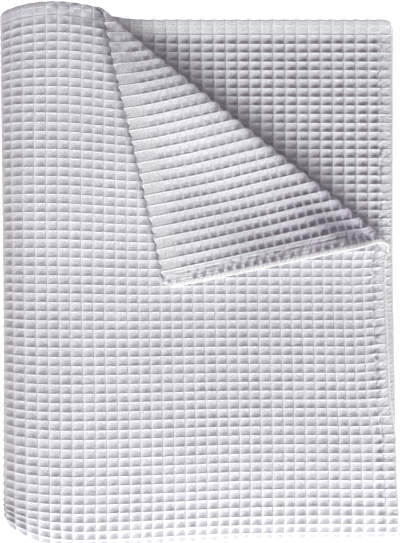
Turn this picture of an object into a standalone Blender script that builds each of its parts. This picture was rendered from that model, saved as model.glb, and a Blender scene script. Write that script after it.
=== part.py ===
"""Waffle weave cotton blanket, folded in four, one corner of its top layer turned back.

The whole blanket is one cloth and one closed solid. The flat cloth is a grid of u (across)
and v (along), measured from its middle. It is folded first along v = 0, which becomes the
bottom edge, and then along u = 0, which becomes the left edge:

    layer 1, on top:     u > 0, v > 0      joined to layer 2 at the bottom edge
    layer 2:             u > 0, v < 0      joined to layer 3 inside the left edge
    layer 3:             u < 0, v < 0      joined to layer 4 at the bottom edge
    layer 4, underneath: u < 0, v > 0      joined to layer 1 round the outside of the left edge

Metres, +X to the right, +Y towards the hems at the top, +Z up. The cells of the weave and
the sewing thread are finish and are not modelled here.
"""
import math

import bmesh
import bpy
import numpy as np
from mathutils import Vector

# ---- the flat cloth --------------------------------------------------------
HALF_WIDTH = 0.3690          # the cloth is 0.74 m across
HALF_LENGTH_OUTER = 0.5015   # layers 1 and 4 are a little longer than layers 2 and 3,
HALF_LENGTH_INNER = 0.4975   # because the first fold isn't quite in the middle
THICKNESS = 0.0032           # bulk thickness of the waffle, ridge to ridge

# ---- the stack -------------------------------------------------------------
FLAT_HALF_GAP = 0.0020       # half the distance between two layers where the stack is flat
FLAT_HALF_STEP = 0.0040      # half the distance between the two pairs of layers there

# ---- the left edge, where both pairs of layers turn over --------------------
LEFT_HALF_HEIGHT = 0.0137    # of the middle of the pair, away from the bottom corner
LEFT_CORNER_HALF = 0.0124    # the same at the bottom corner
LEFT_TOP_REACH = 0.030       # how far in the upper side takes to come level
LEFT_UNDER_REACH = 0.017     # how far in the lower side takes to reach the ground
LEFT_UPPER_SHARE = 0.56      # share of the height above the outermost point
LEFT_SLOPE_LENGTH = 0.195    # over which the top then falls to the flat stack
TOP_SLOPE_LENGTH = 0.105     # the same at the top edge, where the hems are drawn down
TOP_SLOPE_DEPTH = 0.095      # how far down from the top edge that change reaches
EDGE_DRIFT = 0.7             # share of the turn's extra length that shows at the open edge

# ---- the bottom edge, where layer 1 turns into 2 and layer 3 into 4 ---------
TIP_RADIUS = 0.0043          # of each loop at its outermost line
TIP_HALF_STEP = 0.0066       # half the distance between the two loops
PILLOW_RISE = 0.0074         # how much the top layer still rises behind its loop
PILLOW_LENGTH = 0.034        # over which it rises
PILLOW_FALL_LENGTH = 0.240   # over which the stack then falls to its flat height
UNDER_PILLOW_SHARE = 0.15    # share of that rise left in the lowest layer

# ---- the corner of layer 1 that is turned back -------------------------------
ROLL_START = (0.1025, 0.4885)   # where the roll leaves the top edge, seen from above
ROLL_END = (0.3631, 0.2765)     # where it leaves the right edge
ROLL_RADIUS = 0.0072            # of the roll, away from its ends
ROLL_RADIUS_START = 0.0031      # it is tighter and lower at the two hems
ROLL_RADIUS_END = 0.0054
ROLL_RISE_START = 0.0027        # half its height there
ROLL_RISE_END = 0.0032
ROLL_START_REACH = 0.080        # over which it changes
ROLL_END_REACH = 0.048
FLAP_CLEARANCE = 0.0044         # middle of the flap above the middle of layer 1 at rest
FLAP_SETTLE_LENGTH = 0.070      # over which the flap comes down from its roll
RAISE_SIDE = 0.0200             # how far the flap's lower hem stands up near the roll
RAISE_SIDE_WIDTH = 0.036
RAISE_SIDE_LENGTH = 0.235
RAISE_TOP = 0.0030              # the same for its left hem
RAISE_TOP_WIDTH = 0.022
RAISE_TOP_LENGTH = 0.330
RAISE_FROM_ROLL = 0.028         # over which both rise behind the roll
FLAP_SHEAR = 0.020              # how far the flap slides along its roll, per metre behind it
FLAP_STRETCH = 1.015            # the cloth gives a little on the slant
FLAT_SHIFT = 0.0065             # the roll's line lies this much further out on the flat cloth

# ---- how the folded stack lies: small shifts in plan ---------------------------
CORNER_PULL = 0.0120         # the bottom left corner is drawn up,
CORNER_EDGE = 0.036          # most of it within this height of the bottom edge,
CORNER_DRAG = 0.0045         # and a little further up the left edge,
CORNER_DRAG_HEIGHT = 0.300   # up to this height;
CORNER_PULL_WIDTH = 0.035    # both within this width of the line of the left fold
TOP_CORNER_PULL = 0.0080     # the top left corner is drawn down
TOP_CORNER_WIDTH = 0.038
TOP_CORNER_HEIGHT = 0.110
TOP_SAG = 0.0062             # the top edge falls a little to the right of the left edge
BOTTOM_RISE = 0.0030         # the bottom edge rises a little there
HEM_DRAW = 0.0034            # the turned corner draws the right hem up below the roll
LEFT_FLARE = 0.0038          # the stack widens to the left towards the top

# ---- lines of the flat grid, closer together where the cloth turns --------------
U_LINES = (0.0, 0.0025, 0.005, 0.0075, 0.010, 0.013, 0.0165, 0.021, 0.0265, 0.033, 0.041,
           0.051, 0.065, 0.084, 0.105, 0.127, 0.150, 0.175, 0.203, 0.233, 0.265, 0.300,
           0.328, 0.344, 0.357, HALF_WIDTH)
V_LINES = (0.0, 0.0014, 0.0028, 0.0043, 0.0062, 0.0095, 0.014, 0.020, 0.028, 0.037,
           0.050, 0.070, 0.094, 0.122, 0.155, 0.193, 0.233, 0.275, 0.318, 0.362, 0.407, 0.447, 0.474)
ROLL_CUTS = (-0.0090, -0.0065, -0.0046, -0.0028, -0.0010, 0.0008, 0.0026, 0.0045, 0.0065,
             0.0086, 0.0108, 0.0132, 0.0158, 0.0195, 0.025, 0.033, 0.044, 0.058, 0.075,
             0.095, 0.120)

PROFILE_STEPS = 40           # points on each quarter of the left edge's profile


def ease(value):
    """0 to 1 with level ends."""
    share = np.clip(value, 0.0, 1.0)
    return share * share * (3.0 - 2.0 * share)


# ---------------------------------------------------------------- the bottom edge
def loop_table():
    """Arc length, distance from the tip, rise of the tip and rise of the pillow."""
    along = [0.0]
    inward = [0.0]
    tip_rise = [0.0]
    pillow = [0.0]
    step = 0.0001
    count = int(round((PILLOW_LENGTH + 0.012) / step))
    for index in range(count):
        here = (index + 0.5) * step
        turn = math.pi / 2.0 * max(0.0, 1.0 - here / (TIP_RADIUS * math.pi / 2.0))
        slope = 2.0 * PILLOW_RISE / PILLOW_LENGTH * max(0.0, 1.0 - here / PILLOW_LENGTH)
        along.append(along[-1] + step)
        tip_rise.append(tip_rise[-1] + math.sin(turn) * step)
        pillow.append(pillow[-1] + slope * step)
        level = math.cos(turn) * math.sqrt(max(0.0, 1.0 - slope * slope))
        inward.append(inward[-1] + level * step)
    return np.array(along), np.array(inward), np.array(tip_rise), np.array(pillow)


LOOP = loop_table()
LOOP_END = float(LOOP[0][-1])


def bottom_profile(distance):
    """At this distance along the cloth from the bottom line: y, tip rise, pillow, fall."""
    inside = min(distance, LOOP_END)
    inward = float(np.interp(inside, LOOP[0], LOOP[1])) + (distance - inside)
    tip_rise = float(np.interp(inside, LOOP[0], LOOP[2]))
    pillow = float(np.interp(inside, LOOP[0], LOOP[3]))
    fall = float(1.0 - ease((distance - LOOP_END) / PILLOW_FALL_LENGTH))
    return inward, tip_rise, pillow, fall


# ------------------------------------------------------------------ the left edge
def slope_share(distance, y):
    """Share of the left edge's extra height at this distance behind it."""
    near_top = ease(1.0 - (HALF_LENGTH_OUTER - y) / TOP_SLOPE_DEPTH)
    length = LEFT_SLOPE_LENGTH + (TOP_SLOPE_LENGTH - LEFT_SLOPE_LENGTH) * near_top
    return 1.0 - ease(distance / length)


def left_profile(base, half_height, half_step, y):
    """Middle line of the pair of layers round the left edge: x, z, arc length, turn."""
    turn = np.linspace(0.0, math.pi / 2.0, PROFILE_STEPS)
    upper = 2.0 * half_height * LEFT_UPPER_SHARE
    lower = 2.0 * half_height - upper
    middle = base + lower
    run = np.linspace(0.0, 1.0, 60)[1:] * LEFT_SLOPE_LENGTH
    far = 0.45
    under_x = np.concatenate([[far], LEFT_UNDER_REACH * (1.0 - np.cos(turn[::-1]))])
    under_z = np.concatenate([[base], middle - lower * np.sin(turn[::-1])])
    upper_x = LEFT_TOP_REACH * (1.0 - np.cos(turn[1:]))
    upper_z = middle + upper * np.sin(turn[1:])
    slope_x = LEFT_TOP_REACH + run
    slope_z = base + 2.0 * (half_step + (half_height - half_step) * slope_share(run, y))
    x = np.concatenate([under_x, upper_x, slope_x, [far]])
    z = np.concatenate([under_z, upper_z, slope_z, [base + 2.0 * half_step]])
    lengths = np.hypot(np.diff(x), np.diff(z))
    arc = np.concatenate([[0.0], np.cumsum(lengths)])
    tip = PROFILE_STEPS
    arc = arc - arc[tip]
    angle = np.unwrap(np.arctan2(np.gradient(z, arc), np.gradient(x, arc)))
    angle = angle - 2.0 * math.pi * round((angle[tip] - math.pi / 2.0) / (2.0 * math.pi))
    return x, z, arc, angle


def pillow_share(across):
    """How much of the bottom pillow shows at this distance across the cloth."""
    return UNDER_PILLOW_SHARE + (1.0 - UNDER_PILLOW_SHARE) * ease((across + 0.02) / 0.11)


def fold_row(across, v):
    """Fold one row of the cloth, all at the same v: x, y and z of its middle surface."""
    inward, tip_rise, pillow, fall = bottom_profile(abs(v))
    tip_gap = FLAT_HALF_GAP + (TIP_RADIUS - FLAT_HALF_GAP) * fall
    tip_gap = tip_gap if abs(v) > LOOP_END else tip_rise
    rise_now = PILLOW_RISE * fall if abs(v) > LOOP_END else pillow
    base_gap = FLAT_HALF_GAP + (TIP_RADIUS - FLAT_HALF_GAP) * fall
    base = THICKNESS / 2.0 + base_gap + UNDER_PILLOW_SHARE * PILLOW_RISE * fall
    half_step = FLAT_HALF_STEP + (TIP_HALF_STEP - FLAT_HALF_STEP) * fall
    half_height = LEFT_HALF_HEIGHT + (LEFT_CORNER_HALF - LEFT_HALF_HEIGHT) * fall
    x, z, arc, angle = left_profile(base, half_height, half_step, inward)
    drift = min(tip_gap, FLAT_HALF_GAP) * EDGE_DRIFT
    if v >= 0.0:
        offset = tip_gap + pillow_share(across) * rise_now
    else:
        offset = -tip_gap * np.ones_like(across)
        drift = -drift
    along = arc + drift * (math.pi / 2.0 - angle)
    centre_x = np.interp(across, along, x)
    centre_z = np.interp(across, along, z)
    heading = np.interp(across, along, angle)
    bulge = base_gap - FLAT_HALF_GAP + pillow_share(0.0) * PILLOW_RISE * fall
    push = FLAT_HALF_GAP + THICKNESS / 2.0 + bulge * (1.0 - ease(centre_x / 0.34))
    folded_x = centre_x - offset * np.sin(heading) + push
    folded_z = centre_z + offset * np.cos(heading)
    return folded_x, np.full_like(across, inward), folded_z


# ---------------------------------------------------------------- the turned corner
def top_layer_height(x, y):
    """Height of the middle of layer 1 where the turned corner lies on it."""
    behind = x - LEFT_TOP_REACH - FLAT_HALF_GAP - THICKNESS / 2.0
    extra = (LEFT_HALF_HEIGHT - FLAT_HALF_STEP) * slope_share(behind, y)
    return THICKNESS / 2.0 + 2.0 * FLAT_HALF_GAP + 2.0 * (FLAT_HALF_STEP + extra)


def raised_hems(edge_u, edge_v, past):
    """How far the stiff hems of the turned corner stand up from it."""
    from_roll = ease(past / RAISE_FROM_ROLL)
    side = RAISE_SIDE * np.exp(-(np.maximum(edge_u, 0.0) / RAISE_SIDE_WIDTH) ** 1.4)
    side = side * ease(1.0 - past / (0.75 * RAISE_SIDE_LENGTH))
    top = RAISE_TOP * np.exp(-(np.maximum(edge_v, 0.0) / RAISE_TOP_WIDTH) ** 1.4)
    top = top * ease(1.0 - past / (0.75 * RAISE_TOP_LENGTH))
    return from_roll * np.maximum(side, top)


def turn_corner(x, y, z, edge_u, edge_v):
    """Roll the part of layer 1 beyond the roll line back over itself."""
    start = np.array(ROLL_START)
    line = np.array(ROLL_END) - start
    length = float(np.hypot(line[0], line[1]))
    line = line / length
    across = np.array((-line[1], line[0]))
    along = (x - start[0]) * line[0] + (y - start[1]) * line[1]
    beyond = (x - start[0]) * across[0] + (y - start[1]) * across[1]
    at_start = np.exp(-(np.maximum(along, 0.0) / ROLL_START_REACH) ** 2)
    at_end = np.exp(-(np.maximum(length - along, 0.0) / ROLL_END_REACH) ** 2)
    radius = ROLL_RADIUS + (ROLL_RADIUS_START - ROLL_RADIUS) * at_start
    radius = radius + (ROLL_RADIUS_END - ROLL_RADIUS) * at_end
    rise = ROLL_RADIUS + (ROLL_RISE_START - ROLL_RADIUS) * at_start
    rise = rise + (ROLL_RISE_END - ROLL_RADIUS) * at_end
    cloth = beyond + radius
    turn = np.clip(cloth / radius, 0.0, math.pi)
    past = np.maximum(cloth - math.pi * radius, 0.0) * FLAP_STRETCH
    place = np.where(cloth > 0.0, radius * (np.sin(turn) - 1.0) - past, beyond)
    settle = ease(past / FLAP_SETTLE_LENGTH)
    along = along + FLAP_SHEAR * past
    top = 2.0 * rise + (FLAP_CLEARANCE - 2.0 * rise) * settle
    top = top + raised_hems(edge_u, edge_v, past)
    lift = np.where(past > 0.0, top, rise * (1.0 - np.cos(turn)))
    new_x = start[0] + along * line[0] + place * across[0]
    new_y = start[1] + along * line[1] + place * across[1]
    new_z = np.where(cloth > 0.0, top_layer_height(new_x, new_y) + lift, z)
    return new_x, new_y, new_z


# ------------------------------------------------------------------- lying in plan
def lie(across, x, y):
    """Shift the folded stack in plan: drawn corners, and edges that aren't quite straight."""
    low = CORNER_PULL * (1.0 - ease((y - 0.004) / CORNER_EDGE))
    low = low + CORNER_DRAG * np.clip(1.0 - y / CORNER_DRAG_HEIGHT, 0.0, 1.0)
    high = np.clip(1.0 - (HALF_LENGTH_OUTER - y) / TOP_CORNER_HEIGHT, 0.0, 1.0)
    shift = low * np.exp(-(across / CORNER_PULL_WIDTH) ** 2)
    top_pull = TOP_CORNER_PULL * np.exp(-(across / TOP_CORNER_WIDTH) ** 2)
    shift = shift - top_pull * ease(high)
    shift = shift - TOP_SAG * ease((x - 0.05) / 0.09) * ease((y - 0.1) / 0.4)
    shift = shift + BOTTOM_RISE * ease((x - 0.10) / 0.20) * ease((0.20 - y) / 0.20)
    shift = shift + HEM_DRAW * ease((x - 0.325) / 0.045) * ease(1.0 - abs(y - 0.19) / 0.15)
    left = np.clip(1.0 - x / 0.10, 0.0, 1.0) ** 2
    return x - LEFT_FLARE * left * ease((y - 0.10) / 0.42), y + shift


# ------------------------------------------------------------------------ building
def mirrored(lines):
    """The same lines on both sides of the fold."""
    return sorted({-line for line in lines} | set(lines))


def flat_cloth(bm):
    """The flat cloth as a grid, with more lines where it is going to turn."""
    u_lines = mirrored(U_LINES)
    v_lines = mirrored(V_LINES)
    v_lines = [-HALF_LENGTH_INNER] + v_lines + [HALF_LENGTH_OUTER]
    bmesh.ops.create_grid(bm, x_segments=len(u_lines) - 1, y_segments=len(v_lines) - 1,
                          size=0.5)
    for vert in bm.verts:
        column = int(round((vert.co.x + 0.5) * (len(u_lines) - 1)))
        row = int(round((vert.co.y + 0.5) * (len(v_lines) - 1)))
        vert.co = Vector((u_lines[column], v_lines[row], 0.0))
    cut_along_roll(bm)


def cut_along_roll(bm):
    """Cut the flat top layer along lines parallel to the roll, so that it can turn there."""
    start = Vector((ROLL_START[0], ROLL_START[1], 0.0))
    end = Vector((ROLL_END[0], ROLL_END[1], 0.0))
    line = (end - start).normalized()
    across = Vector((-line.y, line.x, 0.0))
    for distance in ROLL_CUTS:
        quarter = [face for face in bm.faces
                   if all(vert.co.x > 0.03 and vert.co.y > 0.09 for vert in face.verts)]
        edges = list({edge for face in quarter for edge in face.edges})
        verts = list({vert for face in quarter for vert in face.verts})
        bmesh.ops.bisect_plane(bm, geom=quarter + edges + verts, dist=0.0006,
                               plane_co=start + across * (FLAT_SHIFT + distance),
                               plane_no=across)


def fold(bm):
    """Move every point of the flat cloth to its place in the folded blanket."""
    bm.verts.ensure_lookup_table()
    rows = {}
    for vert in bm.verts:
        rows.setdefault(round(vert.co.y, 6), []).append(vert)
    for v, verts in rows.items():
        across = np.array([vert.co.x for vert in verts])
        x, y, z = fold_row(across, v)
        if v > 0.09:
            turned = turn_corner(x, y, z, HALF_WIDTH - across, HALF_LENGTH_OUTER - v)
            top = across > 0.04
            x = np.where(top, turned[0], x)
            y = np.where(top, turned[1], y)
            z = np.where(top, turned[2], z)
        x, y = lie(across, x, y)
        for index, vert in enumerate(verts):
            vert.co = Vector((x[index], y[index], z[index]))


def put_on_ground(blanket):
    """Put the middle of the finished solid's box over the origin, with its foot at zero."""
    graph = bpy.context.evaluated_depsgraph_get()
    finished = blanket.evaluated_get(graph).to_mesh()
    points = np.array([vert.co[:] for vert in finished.vertices])
    low = points.min(axis=0)
    high = points.max(axis=0)
    move = Vector((-(low[0] + high[0]) / 2.0, -(low[1] + high[1]) / 2.0, -low[2]))
    for vert in blanket.data.vertices:
        vert.co += move


def waffle_cotton():
    """Plain white cotton."""
    material = bpy.data.materials.new("white_waffle_cotton")
    material.use_nodes = True
    shader = material.node_tree.nodes["Principled BSDF"]
    shader.inputs["Base Color"].default_value = (0.86, 0.86, 0.88, 1.0)
    shader.inputs["Roughness"].default_value = 0.9
    return material


def main():
    for old in list(bpy.data.objects):
        bpy.data.objects.remove(old, do_unlink=True)
    group = bpy.data.collections.new("waffle_weave_blanket")
    bpy.context.scene.collection.children.link(group)
    bm = bmesh.new()
    flat_cloth(bm)
    fold(bm)
    bmesh.ops.triangulate(bm, faces=bm.faces[:], quad_method="SHORT_EDGE")
    bm.normal_update()
    mesh = bpy.data.meshes.new("blanket")
    bm.to_mesh(mesh)
    bm.free()
    blanket = bpy.data.objects.new("blanket", mesh)
    group.objects.link(blanket)
    skin = blanket.modifiers.new("thickness", "SOLIDIFY")
    skin.thickness = THICKNESS
    skin.offset = 0.0
    skin.use_even_offset = True
    mesh.materials.append(waffle_cotton())
    bpy.context.view_layer.update()
    put_on_ground(blanket)
    return blanket


main()
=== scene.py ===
"""The looks of the waffle weave cotton blanket, folded in four, one corner turned back.

The cloth is made flat, as a closed slab of two skins with its waffle cells and hems, and is
then folded by the same sums, with the same named sizes, as the solid that it stands for. It
is made in five pieces that meet where nobody sees them:

    cloth_top_layer      layer 1, the left edge and the bottom edge
    cloth_turned_corner  the roll, and the corner that lies turned back on layer 1
    cloth_second_layer   layer 2, whose top right corner shows
    cloth_third_layer    layer 3
    cloth_bottom_layer   layer 4 and its bottom edge

Metres, +X to the right, +Y towards the hems at the top, +Z up. A place on the flat cloth is
u across it and v along it, from its middle. A pair of sizes that goes to fade_in or
fade_out has a place first and then the length over which something changes there.
"""
import math

import bmesh
import bpy
import numpy as np
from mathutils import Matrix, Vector

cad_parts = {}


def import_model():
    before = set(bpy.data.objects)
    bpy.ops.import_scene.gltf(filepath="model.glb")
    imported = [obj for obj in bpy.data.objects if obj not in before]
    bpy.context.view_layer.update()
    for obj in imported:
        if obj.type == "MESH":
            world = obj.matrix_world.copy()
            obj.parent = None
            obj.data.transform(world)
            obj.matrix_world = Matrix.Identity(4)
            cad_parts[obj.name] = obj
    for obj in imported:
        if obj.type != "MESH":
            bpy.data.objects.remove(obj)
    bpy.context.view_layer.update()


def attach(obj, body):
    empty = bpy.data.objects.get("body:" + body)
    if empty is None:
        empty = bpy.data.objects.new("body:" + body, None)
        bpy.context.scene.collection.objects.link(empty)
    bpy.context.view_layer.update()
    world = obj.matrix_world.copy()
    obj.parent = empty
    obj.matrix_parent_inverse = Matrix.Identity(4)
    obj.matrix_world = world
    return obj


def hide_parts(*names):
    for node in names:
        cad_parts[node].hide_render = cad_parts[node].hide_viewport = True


# ---- the flat cloth --------------------------------------------------------
HALF_WIDTH = 0.3690
HALF_LENGTH_OUTER = 0.5015
HALF_LENGTH_INNER = 0.4975
BULK = 0.0032                # the solid's thickness, which the folding sums use
RIDGE_TO_RIDGE = 0.0036      # of the cloth with its cells

# ---- random unevenness -----------------------------------------------------
SEEDS = {"columns": 11, "rows": 23, "swell": 5, "pits": 31, "crumple": 37, "seam": 41,
         "hem spots": 43, "turned shade": 47, "knot": 53}
GRAIN_TABLE = 128            # spots each way before the pattern comes back
WANDER_LINES = 256           # ridge lines each way that stray by their own amounts

# ---- the cells of the weave --------------------------------------------------
CELL_WIDTH = 0.01025
CELL_LENGTH = 0.00823
CELL_START_U = -0.0016       # one ridge line runs here, seen from the front
CELL_START_V = 0.0029
INNER_CELL_WIDTH = 0.01121   # of layers 2 and 3, which lie a little stretched
INNER_CELL_LENGTH = 0.00845
INNER_START_U = -0.0078
INNER_START_V = 0.0021
REVERSE_SHIFT = 0.5          # the reverse has its cells this share of a cell further
FRONT_DEPTH = 0.00108        # of the cells on the front
BACK_DEPTH = 0.0027          # and on the reverse,
BACK_BAR_SAG = 0.0005        # where the ridges across the cloth stand this much lower
PIT_ROUNDNESS = 2.0
PIT_UNEVEN = 0.26            # how much the cells differ in depth
FRONT_COLUMN_PEAK = 0.67     # where a cell is deepest, as a share of its width or length
BACK_COLUMN_PEAK = 0.66
FRONT_ROW_PEAK = 0.38
BACK_ROW_PEAK = (0.60, 0.50)   # of layers 2 and 3, and of layers 1 and 4
BOTTOM_DEEPER = 0.55         # how much deeper the front's cells are round the bottom fold
BOTTOM_REACH = 0.060
COLUMN_WANDER = 0.00045      # how far the ridge lines stray
ROW_WANDER = 0.00032
WANDER_LENGTH = 0.23         # over which a line sways once, more or less by this share
WANDER_LENGTH_SHARE = 0.3
WANDER_OWN = 0.55            # shares of a line's own amount and of its slow sway
WANDER_SWAY = 0.45
WANDER_FREE = (0.004, 0.02)  # no line strays at an edge
SWELL = 0.0009               # soft unevenness of the top of the stack
SWELL_LENGTH = 0.055
SWELL_FADE = 0.05            # it dies out towards the folds

# ---- the weave on the turned corner ------------------------------------------
TURN_FROM = (0.04, 0.09)     # nothing below this u or this v is turned
PAST_ROLL = 0.02             # the reverse takes its own look over this length
TURNED_DEPTH = 0.0008        # of the cells here, where the cloth is stretched a little,
TURNED_DEEPER = 0.0010       # and this much more beside the lower hem near the roll:
NEAR_LOWER_HEM = 0.070       # this far from the hem
NEAR_ROLL = 0.150            # and this far from the roll
TURNED_BAR_SAG = 0.0005
TURNED_COLUMN_PEAK = 0.47
TURNED_ROUNDNESS = 1.3
RIB_TO_PIT = (0.10, 0.20)    # shares of a cell from a rib to the deep part beside it,
BAR_TO_PIT = (0.30, 0.20)    # from a bar to the deep part,
PIT_TO_BAR = (1.0, 0.10)     # and from there to the next bar
REVERSE_EXTRA = 0.0006       # how much prouder the reverse stands here
REVERSE_EXTRA_OVER = 0.015
KNOT_DEPTH = 0.0019          # of the rumpled spot where the roll begins
KNOT_GRAIN = 0.0036
KNOT_BASE = 0.3              # the share of its depth that lies above the cloth
KNOT_FROM_ROLL = 0.040
KNOT_FROM_HEM = 0.021

# ---- the hems ------------------------------------------------------------------
HEM_WIDTH = 0.0140
HEM_STEPS = (0.0, 0.0009, 0.0022, 0.0036, 0.0047, 0.0060, 0.0074, 0.0088, 0.0101, 0.0113,
             0.0121, 0.0129)
HEM_RIM = (0.0027, 0.0016)   # the smooth outer part of a hem ends here
PAST_SEAM = (0.0132, 0.0024)   # and the cells begin here
HEM_SHARE = 0.34             # how much of the cells' depth shows on a hem, on the front,
HEM_SHARE_BACK = 0.26        # on the reverse
HEM_SHARE_TURNED = 0.14      # and on the turned corner
HEM_CELLS_BELOW = (0.135, 0.06)   # below this v the side hem shows a column of cells
HEM_CELLS_FROM = (0.0012, 0.0016)
HEM_SPOT_DEPTH = 0.0013      # of the hollows between the stitches of the turned corner's
HEM_SPOT_FROM = (0.0048, 0.0016)   # lower hem, which lie between these two places
HEM_SPOT_TO = (0.0116, 0.0014)
HEM_SPOT_RIB = (0.12, 0.22)  # shares of a cell from a rib to a hollow
HEM_SPOT_GRAIN = 0.0085
HEM_SPOT_CONTRAST = (1.6, -0.1)
CRUMPLE = 0.00090            # how uneven the stitching makes the cloth,
CRUMPLE_TURNED = -0.55       # how much less so on the turned corner
CRUMPLE_GRAIN = 0.0021
CRUMPLE_MIDDLE = 0.0105      # where it is most uneven, from the edge,
CRUMPLE_HALF = 0.0075
CRUMPLE_LOW = 0.0060         # and how much further in where the hem shows cells
CRUMPLE_LOW_LESS = 0.35      # and by how much less uneven
CRUMPLE_CORNER = 1.3         # the end hems are smooth up to the corners
SEAM_PLACE = 0.0123          # the line of stitches, from the edge
SEAM_HALF = 0.0006
SEAM_DEPTH = 0.0010
SEAM_GRAIN = 0.0046
SEAM_LEAST = 0.35            # share of its depth where it is least deep
SEAM_UNEVEN = 1.1            # and how much its unevenness adds
SEAM_END_LESS = 0.6          # how much less deep it is along the end hems
SEAM_END_OVER = 0.003
RIM_OUT = 0.0011             # the rounded outer rim
RIM_SHOULDER = 0.62
RIM_SHOULDER_OVER = 0.0016
RIM_FULL = 0.98              # 1 would be a full half round
RIM_WAVE = 0.0007            # how far the ribs stand out at the end hems,
RIM_WAVE_LEAST = 0.3         # and the share of it away from the turned corner
CORNER_ROUND = 0.0080
HEM_INSET = 0.0042           # layer 1's side hem lies this far in from the layers below it,
INSET_RIGHT = (0.300, 0.050)   # beyond this u
INSET_FROM = (0.095, 0.045)  # and between these two v
INSET_TO = (0.284, 0.024)
HEM_FLARE = 0.0032           # all the layers spread this far at the bottom right
FLARE_RIGHT = (0.24, 0.12)
FLARE_REACH = 0.070
STITCH_FROM = (0.0008, 0.0012)   # the slanting stitches of the side hems lie here,
STITCH_TO = (0.0062, 0.0020)
FAINT_STITCH = 0.5           # and fainter up to here
FAINT_STITCH_FROM = (0.0062, 0.002)
FAINT_STITCH_TO = (0.0155, 0.003)

# ---- painted shade in the cells, hollows and folds, 1 being as grey as the deepest ---
FRONT_SHADE = 0.80
FRONT_SHADE_CURVE = 1.6      # grey keeps to the deep part of the cells
FRONT_SHADE_REACH = 1.4      # the deepest that counts, as a share of the front's depth
BOTTOM_SHADE = 0.50          # painted shade added at the outside of the fold at the bottom, which faces the key light
BOTTOM_SHADE_REACH = 0.0095
TURNED_SHADE = 0.32
TURNED_SHADE_DEPTH = 0.25    # share that goes by the depth alone
TURNED_SHADE_LEAST = 0.6
TURNED_SHADE_UNEVEN = 0.6     # which its unevenness adds to the least
TURNED_SHADE_GRAIN = 0.009
INSIDE_HEMS = (HEM_WIDTH, 0.002)
HEM_SPOT_SHADE = 0.9
ROLL_END_SHADE = 0.85        # of the shaded place beside the lower hem near the roll
# painted shade in the rumpled spot where the roll begins
KNOT_SHADE = 0.9
KNOT_CONTRAST = (1.5, -0.3)
DRAWN_UP_SHADE = 0.55        # painted shade where the cloth is drawn up into the roll's lower end
DRAWN_UP_PLACE = (0.356, 0.284)
DRAWN_UP_HALF = (0.012, 0.007)
RIM_TO_HEM = (0.0021, 0.0018)   # the cream rim ends here
TURNED_LIGHTER = 0.50        # painted light: the turned corner's colour lies this far back towards the front's lighter one

# ---- the lines of the flat grid ----------------------------------------------------
NEAR_RIDGE = (0.15, 0.52)    # places of the fine lines in a half cell, from its ridge
NEAR_BOTH = (0.15, 0.52, 0.85)   # the same where the front and the back both show
LINE_CLEARANCE = 0.12        # share of a cell that stays free beside a hem's own lines
COARSE_STEP = 3              # a back that nobody sees has every third line
WALL_LEVELS = (0.5, 0.0, -0.5, -1.0)   # the wall's lines below the front, which is at 1
NEAR_LEVEL = 0.1             # a point this close to a level lies on it
WELD = 0.01                  # of a line's number
ORDER = Vector((1.0, 5000.0, 2.0e7))   # rows go first by height, then v, then u
EVERYWHERE = (-1.0, 1.0)     # between which places the grid has its fine lines
NOWHERE = (1.0, -1.0)
RIGHT_IN_LAYER_TWO = (0.095, 1.0)   # where layer 2 shows
TOP_IN_LAYER_TWO = (-1.0, -0.235)

# ---- where the pieces meet ---------------------------------------------------------
WRAP_UNDER = 5 * CELL_WIDTH + CELL_START_U
WRAP_INSIDE = 4 * CELL_LENGTH
PIECES_MEET = -0.0042        # layer 1 and the turned corner meet here, under the roll
TURNED_LEFT = 0.068          # the turned corner's piece is cut from the cloth beyond these
TURNED_LOW = 0.235
SAME_PLACE = 0.00001         # places closer than this are one
CUT_WIDTH = 0.00002          # a line this close to a cut isn't cut again
AT_RIM = 0.0001              # what lies this close to the rim's line is on it

# ---- the stack -------------------------------------------------------------
FLAT_HALF_GAP = 0.0020
FLAT_HALF_STEP = 0.0040

# ---- the left edge ----------------------------------------------------------
LEFT_HALF_HEIGHT = 0.0137
LEFT_CORNER_HALF = 0.0124
LEFT_TOP_REACH = 0.030
LEFT_UNDER_REACH = 0.017
LEFT_UPPER_SHARE = 0.56
LEFT_SLOPE_LENGTH = 0.195
TOP_SLOPE_LENGTH = 0.105
TOP_SLOPE_DEPTH = 0.095
EDGE_DRIFT = 0.7
BULGE_REACH = 0.34           # how far right the bottom fold pushes the stack
PROFILE_STEPS = 40
SLOPE_STEPS = 60
FAR_RIGHT = 0.45             # beyond the stack's right edge

# ---- the bottom edge --------------------------------------------------------
TIP_RADIUS = 0.0043
TIP_HALF_STEP = 0.0066
PILLOW_RISE = 0.0074
PILLOW_LENGTH = 0.034
PILLOW_FALL_LENGTH = 0.240
PILLOW_ACROSS = (-0.02, 0.11)
UNDER_PILLOW_SHARE = 0.15
LOOP_STEP = 0.0001           # of the sum round the fold,
LOOP_BEYOND = 0.012          # which goes this far past the pillow

# ---- the corner of layer 1 that is turned back -------------------------------
ROLL_START = (0.1025, 0.4885)
ROLL_END = (0.3631, 0.2765)
ROLL_RADIUS = 0.0072
ROLL_RADIUS_START = 0.0031   # the roll is tighter and lower at the two hems
ROLL_RADIUS_END = 0.0054
ROLL_RISE_START = 0.0027     # half its height there
ROLL_RISE_END = 0.0032
ROLL_START_REACH = 0.080
ROLL_END_REACH = 0.048
FLAP_CLEARANCE = 0.0044
FLAP_SETTLE_LENGTH = 0.070
RAISE_SIDE = 0.0200          # how far the flap's lower hem stands up near the roll
RAISE_SIDE_WIDTH = 0.036
RAISE_SIDE_LENGTH = 0.235
RAISE_TOP = 0.0030           # the same for its left hem
RAISE_TOP_WIDTH = 0.022
RAISE_TOP_LENGTH = 0.330
RAISE_FROM_ROLL = 0.028      # over which both rise behind the roll
RAISE_STEEPNESS = 1.4
RAISE_ALONG = 0.75           # share of their lengths over which they come down again
FLAP_SHEAR = 0.020
FLAP_STRETCH = 1.015
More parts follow.
